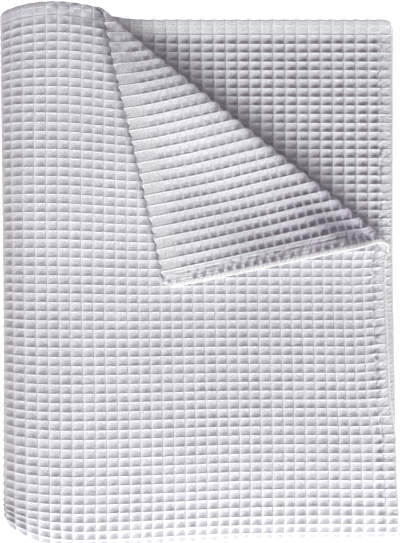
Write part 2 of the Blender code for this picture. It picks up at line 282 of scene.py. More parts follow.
FLAT_SHIFT = 0.0065          # the roll's line lies this much further out on the flat cloth

# ---- how the folded stack lies ------------------------------------------------
CORNER_PULL = 0.0120
CORNER_PULL_FROM = 0.004
CORNER_EDGE = 0.036
CORNER_DRAG = 0.0045
CORNER_DRAG_HEIGHT = 0.300
CORNER_PULL_WIDTH = 0.035
TOP_CORNER_PULL = 0.0080
TOP_CORNER_WIDTH = 0.038
TOP_CORNER_HEIGHT = 0.110
TOP_SAG = 0.0062
TOP_SAG_X = (0.05, 0.09)
TOP_SAG_Y = (0.1, 0.4)
BOTTOM_RISE = 0.0030
BOTTOM_RISE_X = (0.10, 0.20)
BOTTOM_RISE_Y = (0.20, 0.20)
HEM_DRAW = 0.0034            # the turned corner draws the right hem up below the roll
HEM_DRAW_X = (0.325, 0.045)
HEM_DRAW_MIDDLE = 0.19
HEM_DRAW_HALF = 0.15
LEFT_FLARE = 0.0038
LEFT_FLARE_WIDTH = 0.10
LEFT_FLARE_Y = (0.10, 0.42)
HEM_CURL = 0.0034            # how far layer 2's hem at the top turns up
HEM_CURL_WIDTH = 0.014
HEM_CURL_MOST = 1.2
HEM_CURL_CURVE = 1.5
HEM_CURL_FROM = (0.112, 0.03)
ROLL_END_DRAW = 0.0052       # how far the roll's lower end is drawn down and so rounded,
ROLL_END_DRAW_X = (0.346, 0.026)   # from here to the right
ROLL_END_DRAW_HALF = 0.015
STACK_MIDDLE = (0.182979, 0.247986)   # of the folded solid, which lies over the origin
STEP_ALONG = 0.0004          # for finding the surface's direction
ROW_DIGITS = 6               # points whose v agrees this far are folded as one row

# ---- the look of the cotton ------------------------------------------------------
RIDGE_COLOR = (0.885, 0.882, 0.912, 1.0)
REVERSE_COLOR = (0.772, 0.796, 0.794, 1.0)   # the same on the reverse, less blue and darker: painted shade, as layer 2 lies in shade
# painted shade: the colours painted where the cells are deepest, on the front and on the reverse
CELL_SHADE_COLOR = (0.535, 0.525, 0.575, 1.0)
REVERSE_CELL_SHADE_COLOR = (0.560, 0.510, 0.595, 1.0)
# painted highlight on the thin ridge lines, on the front and on the reverse; the slanting
# stitches take the same white
RIDGE_HIGHLIGHT_WHITE = (0.960, 0.960, 0.965, 1.0)
REVERSE_RIDGE_HIGHLIGHT = (0.815, 0.835, 0.835, 1.0)
# painted shadow in the crease under each row
CREASE_SHADOW_COLOR = (0.560, 0.530, 0.600, 1.0)
# the hems' rims: a cream tone, darkened as painted shade against the key light that they face
RIM_COLOR = (0.690, 0.675, 0.640, 1.0)
RIM_CREAM = 0.6
RIDGE_LINE_HALF = 0.11       # half the width of a thin ridge line, as a share of a cell
RIDGE_HIGHLIGHT_SHARE = 0.75
ROW_LINE_SHARE = 0.55        # the lines across the cloth show this much of the others
CREASE_PLACE = 0.15          # of the painted shadow in the crease under each row, as a share of a cell
CREASE_HALF = 0.12
CREASE_SHADOW_SHARE = 0.18
THREADS_IN_WIDTH = 14.0      # threads in a cell
THREADS_IN_LENGTH = 11.0
THREAD_STRAY = 0.06
THREAD_STRAY_NOISE = (1.7, 2.0, 0.5)   # scale, detail and roughness
THREAD_CROSSING = 1.5        # how sharply over changes to under
THREAD_HEIGHT = 0.0009
THREADS_SHARE = 0.40         # shares in the height of the threads,
FUZZ_SHARE = 1.60            # the fuzz,
RIDGE_SHARE = 0.9            # the thin ridge lines
STITCH_SHARE = 1.1           # and the stitches
STITCHES_IN_CELL = 1.9
STITCH_SLANT = -1.6
STITCH_NOISE = (2.3, 2.0, 0.5)
STITCH_CONTRAST = (2.6, -0.9)
STITCH_WHITE = 0.8
FUZZ_NOISE = (6.0, 4.0, 0.72)
FUZZ_CONTRAST = 1.12
PATCH_NOISE = (0.16, 2.0, 0.5)
PATCH_CONTRAST = 0.10
ROUGHNESS = 0.88
ROUGHNESS_UNEVEN = 0.2
BUMP_STRENGTH = 0.75
SHEEN = 0.12
SHEEN_ROUGHNESS = 0.6
SPECULAR = 0.25

# ---- camera, light and floor ------------------------------------------------------
IMAGE_HEIGHT = 543
PHOTO_SCALE = 0.000941       # metres to a pixel, on the flat top
CAMERA_HEIGHT = 0.60         # above the flat top
CAMERA_PLACE = (0.1840, 0.2500)
SENSOR_WIDTH = 36.0
FLAT_TOP = 0.0156
KEY_PLACE = (0.90, -1.97, 1.06)
KEY_SIZE = (1.9, 0.9)
KEY_WATTS = 103.0
KEY_COLOR = (0.960, 1.0, 0.990)
FILL_PLACE = (-1.15, -0.35, 0.42)
FILL_SIZE = (0.7, 0.4)
FILL_WATTS = 2.2
FILL_COLOR = (1.0, 1.0, 1.0)
ROUND_COLOR = (1.0, 0.87, 1.0, 1.0)   # the even light all round
ROUND_STRENGTH = 0.26
FLOOR_COLOR = (0.9, 0.9, 0.9, 1.0)
FLOOR_GLOW = (1.0, 1.0, 1.0, 1.0)   # keeps the paper white, as in the photo
FLOOR_SIZE = 3.0


def ease(value):
    """0 to 1 with level ends."""
    share = np.clip(value, 0.0, 1.0)
    return share * share * (3.0 - 2.0 * share)


def fade_in(value, span):
    """0 up to the first of span, and 1 once its second, a length, is behind it."""
    return ease((value - span[0]) / span[1])


def fade_out(value, span):
    """1 until the second of span, a length, before its first, and 0 from the first on."""
    return ease((span[0] - value) / span[1])


def grain(u, v, size, name):
    """Smooth random height from 0 to 1, with spots of this size, from the seed of this name."""
    table = np.random.default_rng(SEEDS[name]).uniform(0.0, 1.0, (GRAIN_TABLE, GRAIN_TABLE))
    place_u = (u + 1.0) / size
    place_v = (v + 1.0) / size
    low_u = np.floor(place_u).astype(int)
    low_v = np.floor(place_v).astype(int)
    part_u = ease(place_u - low_u)
    part_v = ease(place_v - low_v)

    def at(step_u, step_v):
        return table[(low_u + step_u) % GRAIN_TABLE, (low_v + step_v) % GRAIN_TABLE]

    low = at(0, 0) * (1.0 - part_u) + at(1, 0) * part_u
    high = at(0, 1) * (1.0 - part_u) + at(1, 1) * part_u
    return low * (1.0 - part_v) + high * part_v


# ================================================================ folding, as the solid
def loop_table():
    """Arc length, distance from the tip, rise of the tip and rise of the pillow."""
    along = [0.0]
    inward = [0.0]
    tip_rise = [0.0]
    pillow = [0.0]
    count = int(round((PILLOW_LENGTH + LOOP_BEYOND) / LOOP_STEP))
    for index in range(count):
        here = (index + 0.5) * LOOP_STEP
        turn = math.pi / 2.0 * max(0.0, 1.0 - here / (TIP_RADIUS * math.pi / 2.0))
        slope = 2.0 * PILLOW_RISE / PILLOW_LENGTH * max(0.0, 1.0 - here / PILLOW_LENGTH)
        along.append(along[-1] + LOOP_STEP)
        tip_rise.append(tip_rise[-1] + math.sin(turn) * LOOP_STEP)
        pillow.append(pillow[-1] + slope * LOOP_STEP)
        level = math.cos(turn) * math.sqrt(max(0.0, 1.0 - slope * slope))
        inward.append(inward[-1] + level * LOOP_STEP)
    return np.array(along), np.array(inward), np.array(tip_rise), np.array(pillow)


LOOP = loop_table()
LOOP_END = float(LOOP[0][-1])


def bottom_profile(distance):
    """At this distance along the cloth from the bottom line: y, tip rise, pillow, fall."""
    inside = min(distance, LOOP_END)
    inward = float(np.interp(inside, LOOP[0], LOOP[1])) + (distance - inside)
    tip_rise = float(np.interp(inside, LOOP[0], LOOP[2]))
    pillow = float(np.interp(inside, LOOP[0], LOOP[3]))
    fall = float(1.0 - ease((distance - LOOP_END) / PILLOW_FALL_LENGTH))
    return inward, tip_rise, pillow, fall


def slope_share(distance, y):
    """Share of the left edge's extra height at this distance behind it."""
    near_top = ease(1.0 - (HALF_LENGTH_OUTER - y) / TOP_SLOPE_DEPTH)
    length = LEFT_SLOPE_LENGTH + (TOP_SLOPE_LENGTH - LEFT_SLOPE_LENGTH) * near_top
    return 1.0 - ease(distance / length)


def left_profile(base, half_height, half_step, y):
    """Middle line of the pair of layers round the left edge: x, z, arc length, turn."""
    turn = np.linspace(0.0, math.pi / 2.0, PROFILE_STEPS)
    upper = 2.0 * half_height * LEFT_UPPER_SHARE
    lower = 2.0 * half_height - upper
    middle = base + lower
    run = np.linspace(0.0, 1.0, SLOPE_STEPS)[1:] * LEFT_SLOPE_LENGTH
    under_x = np.concatenate([[FAR_RIGHT], LEFT_UNDER_REACH * (1.0 - np.cos(turn[::-1]))])
    under_z = np.concatenate([[base], middle - lower * np.sin(turn[::-1])])
    upper_x = LEFT_TOP_REACH * (1.0 - np.cos(turn[1:]))
    upper_z = middle + upper * np.sin(turn[1:])
    slope_x = LEFT_TOP_REACH + run
    slope_z = base + 2.0 * (half_step + (half_height - half_step) * slope_share(run, y))
    x = np.concatenate([under_x, upper_x, slope_x, [FAR_RIGHT]])
    z = np.concatenate([under_z, upper_z, slope_z, [base + 2.0 * half_step]])
    lengths = np.hypot(np.diff(x), np.diff(z))
    arc = np.concatenate([[0.0], np.cumsum(lengths)])
    tip = PROFILE_STEPS
    arc = arc - arc[tip]
    angle = np.unwrap(np.arctan2(np.gradient(z, arc), np.gradient(x, arc)))
    angle = angle - 2.0 * math.pi * round((angle[tip] - math.pi / 2.0) / (2.0 * math.pi))
    return x, z, arc, angle


def pillow_share(across):
    """How much of the bottom pillow shows at this distance across the cloth."""
    return UNDER_PILLOW_SHARE + (1.0 - UNDER_PILLOW_SHARE) * fade_in(across, PILLOW_ACROSS)


def fold_row(across, v):
    """Fold one row of the cloth, all at the same v: x, y and z of its middle surface."""
    inward, tip_rise, pillow, fall = bottom_profile(abs(v))
    tip_gap = FLAT_HALF_GAP + (TIP_RADIUS - FLAT_HALF_GAP) * fall
    tip_gap = tip_gap if abs(v) > LOOP_END else tip_rise
    rise_now = PILLOW_RISE * fall if abs(v) > LOOP_END else pillow
    base_gap = FLAT_HALF_GAP + (TIP_RADIUS - FLAT_HALF_GAP) * fall
    base = BULK / 2.0 + base_gap + UNDER_PILLOW_SHARE * PILLOW_RISE * fall
    half_step = FLAT_HALF_STEP + (TIP_HALF_STEP - FLAT_HALF_STEP) * fall
    half_height = LEFT_HALF_HEIGHT + (LEFT_CORNER_HALF - LEFT_HALF_HEIGHT) * fall
    x, z, arc, angle = left_profile(base, half_height, half_step, inward)
    drift = min(tip_gap, FLAT_HALF_GAP) * EDGE_DRIFT
    if v >= 0.0:
        offset = tip_gap + pillow_share(across) * rise_now
    else:
        offset = -tip_gap * np.ones_like(across)
        drift = -drift
    along = arc + drift * (math.pi / 2.0 - angle)
    centre_x = np.interp(across, along, x)
    centre_z = np.interp(across, along, z)
    heading = np.interp(across, along, angle)
    bulge = base_gap - FLAT_HALF_GAP + pillow_share(0.0) * PILLOW_RISE * fall
    push = FLAT_HALF_GAP + BULK / 2.0 + bulge * (1.0 - ease(centre_x / BULGE_REACH))
    folded_x = centre_x - offset * np.sin(heading) + push
    folded_z = centre_z + offset * np.cos(heading)
    return folded_x, np.full_like(across, inward), folded_z


def top_layer_height(x, y):
    """Height of the middle of layer 1 where the turned corner lies on it."""
    behind = x - LEFT_TOP_REACH - FLAT_HALF_GAP - BULK / 2.0
    extra = (LEFT_HALF_HEIGHT - FLAT_HALF_STEP) * slope_share(behind, y)
    return BULK / 2.0 + 2.0 * FLAT_HALF_GAP + 2.0 * (FLAT_HALF_STEP + extra)


def raised_hems(edge_u, edge_v, past):
    """How far the stiff hems of the turned corner stand up from it."""
    side_edge = np.maximum(edge_u, 0.0) / RAISE_SIDE_WIDTH
    top_edge = np.maximum(edge_v, 0.0) / RAISE_TOP_WIDTH
    side = RAISE_SIDE * np.exp(-side_edge ** RAISE_STEEPNESS)
    side = side * ease(1.0 - past / (RAISE_ALONG * RAISE_SIDE_LENGTH))
    top = RAISE_TOP * np.exp(-top_edge ** RAISE_STEEPNESS)
    top = top * ease(1.0 - past / (RAISE_ALONG * RAISE_TOP_LENGTH))
    return ease(past / RAISE_FROM_ROLL) * np.maximum(side, top)


def turn_corner(x, y, z, edge_u, edge_v):
    """Roll the part of layer 1 beyond the roll line back over itself."""
    start = np.array(ROLL_START)
    line = np.array(ROLL_END) - start
    length = float(np.hypot(line[0], line[1]))
    line = line / length
    across = np.array((-line[1], line[0]))
    along = (x - start[0]) * line[0] + (y - start[1]) * line[1]
    beyond = (x - start[0]) * across[0] + (y - start[1]) * across[1]
    at_start = np.exp(-(np.maximum(along, 0.0) / ROLL_START_REACH) ** 2)
    at_end = np.exp(-(np.maximum(length - along, 0.0) / ROLL_END_REACH) ** 2)
    radius = ROLL_RADIUS + (ROLL_RADIUS_START - ROLL_RADIUS) * at_start
    radius = radius + (ROLL_RADIUS_END - ROLL_RADIUS) * at_end
    rise = ROLL_RADIUS + (ROLL_RISE_START - ROLL_RADIUS) * at_start
    rise = rise + (ROLL_RISE_END - ROLL_RADIUS) * at_end
    cloth = beyond + radius
    turn = np.clip(cloth / radius, 0.0, math.pi)
    past = np.maximum(cloth - math.pi * radius, 0.0) * FLAP_STRETCH
    place = np.where(cloth > 0.0, radius * (np.sin(turn) - 1.0) - past, beyond)
    settle = ease(past / FLAP_SETTLE_LENGTH)
    along = along + FLAP_SHEAR * past
    top = 2.0 * rise + (FLAP_CLEARANCE - 2.0 * rise) * settle
    top = top + raised_hems(edge_u, edge_v, past)
    lift = np.where(past > 0.0, top, rise * (1.0 - np.cos(turn)))
    new_x = start[0] + along * line[0] + place * across[0]
    new_y = start[1] + along * line[1] + place * across[1]
    new_z = np.where(cloth > 0.0, top_layer_height(new_x, new_y) + lift, z)
    return new_x, new_y, new_z


def lie(across, x, y):
    """Shift the folded stack in plan: drawn corners, and edges that aren't quite straight."""
    low = CORNER_PULL * (1.0 - ease((y - CORNER_PULL_FROM) / CORNER_EDGE))
    low = low + CORNER_DRAG * np.clip(1.0 - y / CORNER_DRAG_HEIGHT, 0.0, 1.0)
    high = np.clip(1.0 - (HALF_LENGTH_OUTER - y) / TOP_CORNER_HEIGHT, 0.0, 1.0)
    shift = low * np.exp(-(across / CORNER_PULL_WIDTH) ** 2)
    top_pull = TOP_CORNER_PULL * np.exp(-(across / TOP_CORNER_WIDTH) ** 2)
    shift = shift - top_pull * ease(high)
    shift = shift - TOP_SAG * fade_in(x, TOP_SAG_X) * fade_in(y, TOP_SAG_Y)
    shift = shift + BOTTOM_RISE * fade_in(x, BOTTOM_RISE_X) * fade_out(y, BOTTOM_RISE_Y)
    near_draw = ease(1.0 - abs(y - HEM_DRAW_MIDDLE) / HEM_DRAW_HALF)
    shift = shift + HEM_DRAW * fade_in(x, HEM_DRAW_X) * near_draw
    left = np.clip(1.0 - x / LEFT_FLARE_WIDTH, 0.0, 1.0) ** 2
    return x - LEFT_FLARE * left * fade_in(y, LEFT_FLARE_Y), y + shift


def middle_surface(across, v):
    """Places of a row of points of the cloth's middle surface, in the solid's frame."""
    x, y, z = fold_row(across, v)
    if v > TURN_FROM[1]:
        turned = turn_corner(x, y, z, HALF_WIDTH - across, HALF_LENGTH_OUTER - v)
        top = across > TURN_FROM[0]
        x = np.where(top, turned[0], x)
        y = np.where(top, turned[1], y)
        z = np.where(top, turned[2], z)
    x, y = lie(across, x, y)
    return np.stack([x - STACK_MIDDLE[0], y - STACK_MIDDLE[1], z], axis=1)


def fold_frames(u, v):
    """For points of the flat cloth: their places when folded, and the cloth's directions."""
    places = np.zeros((3, len(u), 3))
    order = np.argsort(v, kind="stable")
    rounded = np.round(v[order], ROW_DIGITS)
    starts = np.flatnonzero(np.concatenate([[True], np.diff(rounded) > 0.0]))
    ends = np.append(starts[1:], len(order))
    for start, end in zip(starts, ends):
        row = order[start:end]
        places[0, row] = middle_surface(u[row], rounded[start])
        places[1, row] = middle_surface(u[row] + STEP_ALONG, rounded[start])
        places[2, row] = middle_surface(u[row], rounded[start] + STEP_ALONG)
    to_right = (places[1] - places[0]) / STEP_ALONG
    to_top = (places[2] - places[0]) / STEP_ALONG
    normal = np.cross(to_right, to_top)
    normal = normal / np.linalg.norm(normal, axis=1)[:, None]
    return places[0], to_right, to_top, normal


def fold_points(u, v, height, du, dv):
    """Places of points of the flat cloth: du and dv slide them in it, height lifts them off."""
    place, to_right, to_top, normal = fold_frames(u, v)
    place = place + to_right * du[:, None] + to_top * dv[:, None] + normal * height[:, None]
    layer_one = (u > 0.0) & (v > 0.0)
    swell = SWELL * grain(place[:, 0], place[:, 1], SWELL_LENGTH, "swell")
    fade = ease(u / SWELL_FADE) * ease(v / SWELL_FADE)
    place[:, 2] += np.where(layer_one, swell, 0.0) * fade
    right = fade_in(place[:, 0] + STACK_MIDDLE[0], ROLL_END_DRAW_X)
    beside = (place[:, 1] + STACK_MIDDLE[1] - ROLL_END[1]) / ROLL_END_DRAW_HALF
    draw = ROLL_END_DRAW * right * np.exp(-beside ** 2)
    place[:, 1] -= np.where(layer_one, draw, 0.0)
    hem = np.clip(1.0 - (HALF_LENGTH_INNER + v) / HEM_CURL_WIDTH, 0.0, HEM_CURL_MOST)
    curl = HEM_CURL * hem ** HEM_CURL_CURVE * fade_in(u, HEM_CURL_FROM)
    place[:, 2] += np.where(v < 0.0, curl, 0.0)
    place[:, 2] = np.maximum(place[:, 2], 0.0)
    return place


# ==================================================================== the flat cloth
def edge_distance_u(u):
    """Distance from the nearer side hem's edge."""
    return HALF_WIDTH - np.abs(u)


def edge_distance_v(v):
    """Distance from the nearer end hem's edge."""
    return np.where(v > 0.0, HALF_LENGTH_OUTER - v, HALF_LENGTH_INNER + v)


def hollow(part, peak, roundness):
    """0 on the ridges and 1 where the cell is deepest."""
    level = np.where(part < peak, part / peak, (1.0 - part) / (1.0 - peak))
    return 1.0 - (1.0 - level) ** roundness


def cell_sizes(v):
    """Width, length and starts of the cells at this v: layers 2 and 3 have their own."""
    inner = v < -WRAP_INSIDE - SAME_PLACE
    return (np.where(inner, INNER_CELL_WIDTH, CELL_WIDTH),
            np.where(inner, INNER_CELL_LENGTH, CELL_LENGTH),
            np.where(inner, INNER_START_U, CELL_START_U),
            np.where(inner, INNER_START_V, CELL_START_V))


def cell_places(u, v, shift):
    """Where a point lies, counted in cells, which are shifted by this share of a cell."""
    width, length, start_u, start_v = cell_sizes(v)
    return (u - start_u) / width + shift, (v - start_v) / length + shift


def cell_parts(u, v, shift):
    """Where in its own cell a point lies, 0 to 1 both ways."""
    place_u, place_v = cell_places(u, v, -shift)
    return np.mod(place_u, 1.0), np.mod(place_v, 1.0)


def roll_line(shift):
    """A point of the line of the roll, moved across by shift, and the direction across."""
    line = Vector((ROLL_END[0] - ROLL_START[0], ROLL_END[1] - ROLL_START[1], 0.0)).normalized()
    across = Vector((-line.y, line.x, 0.0))
    start = Vector((ROLL_START[0], ROLL_START[1], 0.0)) + across * shift
    return start, across


def roll_distance(u, v):
    """How far beyond the line of the roll a point of the flat cloth lies."""
    start, across = roll_line(0.0)
    beyond = (u - start.x) * across.x + (v - start.y) * across.y
    return np.where((u > TURN_FROM[0]) & (v > TURN_FROM[1]), beyond, -1.0)


def on_turned_corner(u, v):
    """1 on the corner that is turned back, 0 on the rest of the cloth."""
    return ease(roll_distance(u, v) / PAST_ROLL)


def towards_roll_end(u, v):
    """1 on the turned corner where its lower hem meets the roll, fading away from there."""
    beside_hem = np.exp(-(edge_distance_u(u) / NEAR_LOWER_HEM) ** 2)
    return beside_hem * ease(1.0 - roll_distance(u, v) / NEAR_ROLL)


def knot(u, v):
    """The rumpled spot where the roll begins at the top hem: how much, and its unevenness."""
    from_roll = roll_distance(u, v) / KNOT_FROM_ROLL
    from_hem = edge_distance_v(v) / KNOT_FROM_HEM
    return np.exp(-from_roll ** 2 - from_hem ** 2), grain(u, v, KNOT_GRAIN, "knot")


def turned_pits(u, v):
    """The deep part of the cells on the turned corner: 1 in them, 0 on the bars and the ribs."""
    part_u, part_v = cell_parts(u, v, REVERSE_SHIFT)
    beside_rib = fade_in(np.minimum(part_v, 1.0 - part_v), RIB_TO_PIT)
    return beside_rib * fade_in(part_u, BAR_TO_PIT) * fade_out(part_u, PIT_TO_BAR)


def hem_spots(u, v):
    """The small hollows between the stitches of the turned corner's lower hem."""
    _, part_v = cell_parts(u, v, REVERSE_SHIFT)
    edge_u = edge_distance_u(u)
    band = fade_in(edge_u, HEM_SPOT_FROM) * fade_out(edge_u, HEM_SPOT_TO)
    spots = fade_in(np.minimum(part_v, 1.0 - part_v), HEM_SPOT_RIB)
    uneven = HEM_SPOT_CONTRAST[0] * grain(u, v, HEM_SPOT_GRAIN, "hem spots")
    return band * spots * ease(uneven + HEM_SPOT_CONTRAST[1]) * on_turned_corner(u, v)


def weave_depth(u, v, front, turned, low):
    """Depth of the cells, and of what shows of them on the hems, below the ridges."""
    edge_u = edge_distance_u(u)
    part_u, part_v = cell_parts(u, v, np.where(front, 0.0, REVERSE_SHIFT))
    side_u = hollow(part_u, np.where(front, FRONT_COLUMN_PEAK, BACK_COLUMN_PEAK), PIT_ROUNDNESS)
    rib_u = hollow(part_u, TURNED_COLUMN_PEAK, TURNED_ROUNDNESS)
    back_peak = np.where(v < 0.0, BACK_ROW_PEAK[0], BACK_ROW_PEAK[1])
    side_v = hollow(part_v, np.where(front, FRONT_ROW_PEAK, back_peak), PIT_ROUNDNESS)
    opened = 1.0 + BOTTOM_DEEPER * ease(1.0 - np.abs(v) / BOTTOM_REACH)
    front_cells = FRONT_DEPTH * opened * side_u * side_v
    back_cells = BACK_BAR_SAG * side_u + (BACK_DEPTH - BACK_BAR_SAG) * side_u * side_v
    full_depth = TURNED_DEPTH + TURNED_DEEPER * towards_roll_end(u, v)
    turned_cells = rib_u * TURNED_BAR_SAG + full_depth * turned_pits(u, v)
    back_cells = back_cells + (turned_cells - back_cells) * turned
    past_seam_u = fade_in(edge_u, PAST_SEAM)
    past_seam_v = fade_in(edge_distance_v(v), PAST_SEAM)
    cells_u = np.maximum(past_seam_u, low * fade_in(edge_u, HEM_CELLS_FROM))
    cells = np.where(front, front_cells, back_cells) * cells_u * past_seam_v
    rib_side = np.where(front, side_u, side_u + (rib_u - side_u) * turned)
    ribs_u = rib_side * past_seam_u * (1.0 - past_seam_v)
    ribs_v = side_v * fade_in(edge_u, HEM_RIM) * past_seam_v * (1.0 - cells_u)
    back_share = HEM_SHARE_BACK + (HEM_SHARE_TURNED - HEM_SHARE_BACK) * turned
    hem_depth = np.where(front, FRONT_DEPTH * HEM_SHARE, BACK_DEPTH * back_share)
    uneven = 1.0 - PIT_UNEVEN * grain(u, v, (CELL_WIDTH + CELL_LENGTH) / 2.0, "pits")
    return (cells + hem_depth * (ribs_u + ribs_v)) * uneven


def seam_depth(u, v):
    """Depth of the line of stitches along the hems."""
    edge_u = edge_distance_u(u)
    edge_v = edge_distance_v(v)
    from_line = (np.minimum(edge_u, edge_v) - SEAM_PLACE) / SEAM_HALF
    seam = SEAM_DEPTH * np.exp(-from_line ** 2)
    seam = seam * (1.0 - SEAM_END_LESS * ease((edge_u - edge_v) / SEAM_END_OVER))
    return seam * (SEAM_LEAST + SEAM_UNEVEN * grain(u, v, SEAM_GRAIN, "seam"))


def crumple(u, v, turned, low):
    """The cloth's unevenness beside the stitches of the side hems, downwards."""
    edge_u = edge_distance_u(u)
    edge_v = edge_distance_v(v)
    from_middle = np.abs(np.minimum(edge_u, edge_v) - CRUMPLE_MIDDLE - CRUMPLE_LOW * low)
    rough = CRUMPLE * (1.0 + CRUMPLE_TURNED * turned) * ease(CRUMPLE_CORNER - edge_u / edge_v)
    rough = rough * (1.0 - CRUMPLE_LOW_LESS * low) * ease(1.0 - from_middle / CRUMPLE_HALF)
    return rough * (2.0 * grain(u, v, CRUMPLE_GRAIN, "crumple") - 1.0)


def pit_depth(u, v, front):
    """Depth of the cells, the seams and the rumpled places below the ridges."""
    turned = on_turned_corner(u, v)
    low = fade_out(v, HEM_CELLS_BELOW) * front
    depth = weave_depth(u, v, front, turned, low) + seam_depth(u, v)
    depth = depth + crumple(u, v, turned * (1.0 - front), low)
    rumpled, rumple = knot(u, v)
    spots = HEM_SPOT_DEPTH * hem_spots(u, v) * (1.0 - front)
    return depth + (spots + KNOT_DEPTH * rumpled * (rumple - KNOT_BASE))


def wander(across, along, pitch, name):
    """How far the ridge lines stray: each by its own amount, which changes slowly along it."""
    generator = np.random.default_rng(SEEDS[name])
    own = generator.uniform(-1.0, 1.0, (WANDER_LINES, 3))
    count = across / pitch + WANDER_LINES / 2.0
    low = np.floor(count).astype(int)
    part = count - low

    def stray(index):
        turn = along / WANDER_LENGTH * 2.0 * math.pi * (1.0 + WANDER_LENGTH_SHARE * own[index, 2])
        sway = np.sin(turn + 3.0 * math.pi * own[index, 1])
        return WANDER_OWN * own[index, 0] + WANDER_SWAY * sway

    return stray(low) * (1.0 - part) + stray(low + 1) * part


def lines_between(low, high, pitch, start, hem_low, hem_high, fine, places):
    """Places of the flat grid's lines: the hem's own, then half cells, divided where fine."""
    first = low + HEM_WIDTH if hem_low else low
    last = high - HEM_WIDTH if hem_high else high
    half = pitch / 2.0
    marks = [(first, None)]
    index = math.ceil((first + LINE_CLEARANCE * pitch - start) / half)
    while start + index * half < last - LINE_CLEARANCE * pitch:
        marks.append((start + index * half, index % 2 == 0))
        index += 1
    marks.append((last, None))
    lines = []
    for (here, on_ridge), (there, next_on_ridge) in zip(marks, marks[1:]):
        lines.append(here)
        if not fine[0] < (here + there) / 2.0 < fine[1]:
            continue
        ridge_first = on_ridge if on_ridge is not None else not next_on_ridge
        near = places if ridge_first else [1.0 - place for place in reversed(places)]
        lines.extend(here + (there - here) * share for share in near)
    lines.append(last)
    if hem_low:
        lines = [low + RIM_OUT * (step == 0.0) + step for step in HEM_STEPS] + lines
    if hem_high:
        steps = reversed(HEM_STEPS)
        lines = lines + [high - RIM_OUT * (step == 0.0) - step for step in steps]
    return sorted(lines)


def grid_of_lines(bm, columns, rows, step, level):
    """A flat grid whose points stand at the lines' numbers, every one or every third."""
    count_x = (len(columns) - 1) // step
    count_y = (len(rows) - 1) // step
    made = bmesh.ops.create_grid(bm, x_segments=count_x, y_segments=count_y, size=0.5)
    for vert in made["verts"]:
        vert.co.x = round((vert.co.x + 0.5) * count_x) * step
        vert.co.y = round((vert.co.y + 0.5) * count_y) * step
        vert.co.z = level


def rim_at(bm, level):
    """The boundary edges of the grid that lies at this level."""
    return [edge for edge in bm.edges if edge.is_boundary and
            abs(edge.verts[0].co.z - level) < NEAR_LEVEL]


def slab(columns, rows, coarse_back):
    """Two skins and the wall round them, closed. z is 1 on the front, -1 on the back."""
    bm = bmesh.new()
    grid_of_lines(bm, columns, rows, COARSE_STEP if coarse_back else 1, -1.0)
    if coarse_back:
        bmesh.ops.subdivide_edges(bm, edges=rim_at(bm, -1.0), cuts=COARSE_STEP - 1)
    grid_of_lines(bm, columns, rows, 1, 1.0)
    ring = rim_at(bm, 1.0)
    for level in WALL_LEVELS:
        grown = bmesh.ops.extrude_edge_only(bm, edges=ring)["geom"]
        new_verts = {item for item in grown if isinstance(item, bmesh.types.BMVert)}
        for vert in new_verts:
            vert.co.z = level
        ring = [item for item in grown if isinstance(item, bmesh.types.BMEdge)
                and all(vert in new_verts for vert in item.verts)]
    under = [vert for vert in bm.verts if vert.co.z < NEAR_LEVEL - 1.0]
    bmesh.ops.remove_doubles(bm, verts=under, dist=WELD)
    bmesh.ops.recalc_face_normals(bm, faces=bm.faces[:])
    return bm


def to_flat_cloth(bm, columns, rows):
    """From the lines' numbers to places on the flat cloth."""
    for vert in bm.verts:
        vert.co.x = columns[int(round(vert.co.x))]
        vert.co.y = rows[int(round(vert.co.y))]
        vert.co.z = vert.co.z * RIDGE_TO_RIDGE / 2.0


def cut_at_roll(bm, keep_corner):
    """Keep what lies on one side of the line where the pieces meet, and close the cut."""
    start, across = roll_line(FLAT_SHIFT + PIECES_MEET)
    cut = bmesh.ops.bisect_plane(bm, geom=bm.verts[:] + bm.edges[:] + bm.faces[:],
                                 dist=CUT_WIDTH, plane_co=start, plane_no=across,
                                 clear_inner=keep_corner, clear_outer=not keep_corner)
    edges = [item for item in cut["geom_cut"] if isinstance(item, bmesh.types.BMEdge)]
    for edge in edges:
        edge.smooth = False
    bmesh.ops.triangle_fill(bm, edges=edges, use_beauty=False)
    bmesh.ops.recalc_face_normals(bm, faces=bm.faces[:])


def round_corners(u, v):
    """Draw the cloth's four square corners in to rounded ones."""
    sign_u = np.sign(u)
    sign_v = np.sign(v)
    half_length = np.where(v > 0.0, HALF_LENGTH_OUTER, HALF_LENGTH_INNER)
    part_u = (np.abs(u) - HALF_WIDTH + CORNER_ROUND) / CORNER_ROUND
    part_v = (np.abs(v) - half_length + CORNER_ROUND) / CORNER_ROUND
    inside = (part_u > 0.0) & (part_v > 0.0)
    part_u = np.where(inside, part_u, 0.0)
    part_v = np.where(inside, part_v, 0.0)
    reach = np.maximum(np.hypot(part_u, part_v), 1e-9)
    draw = np.where(inside, np.maximum(part_u, part_v) / reach, 1.0)
    du = sign_u * part_u * (draw - 1.0) * CORNER_ROUND
    dv = sign_v * part_v * (draw - 1.0) * CORNER_ROUND
    return du, dv


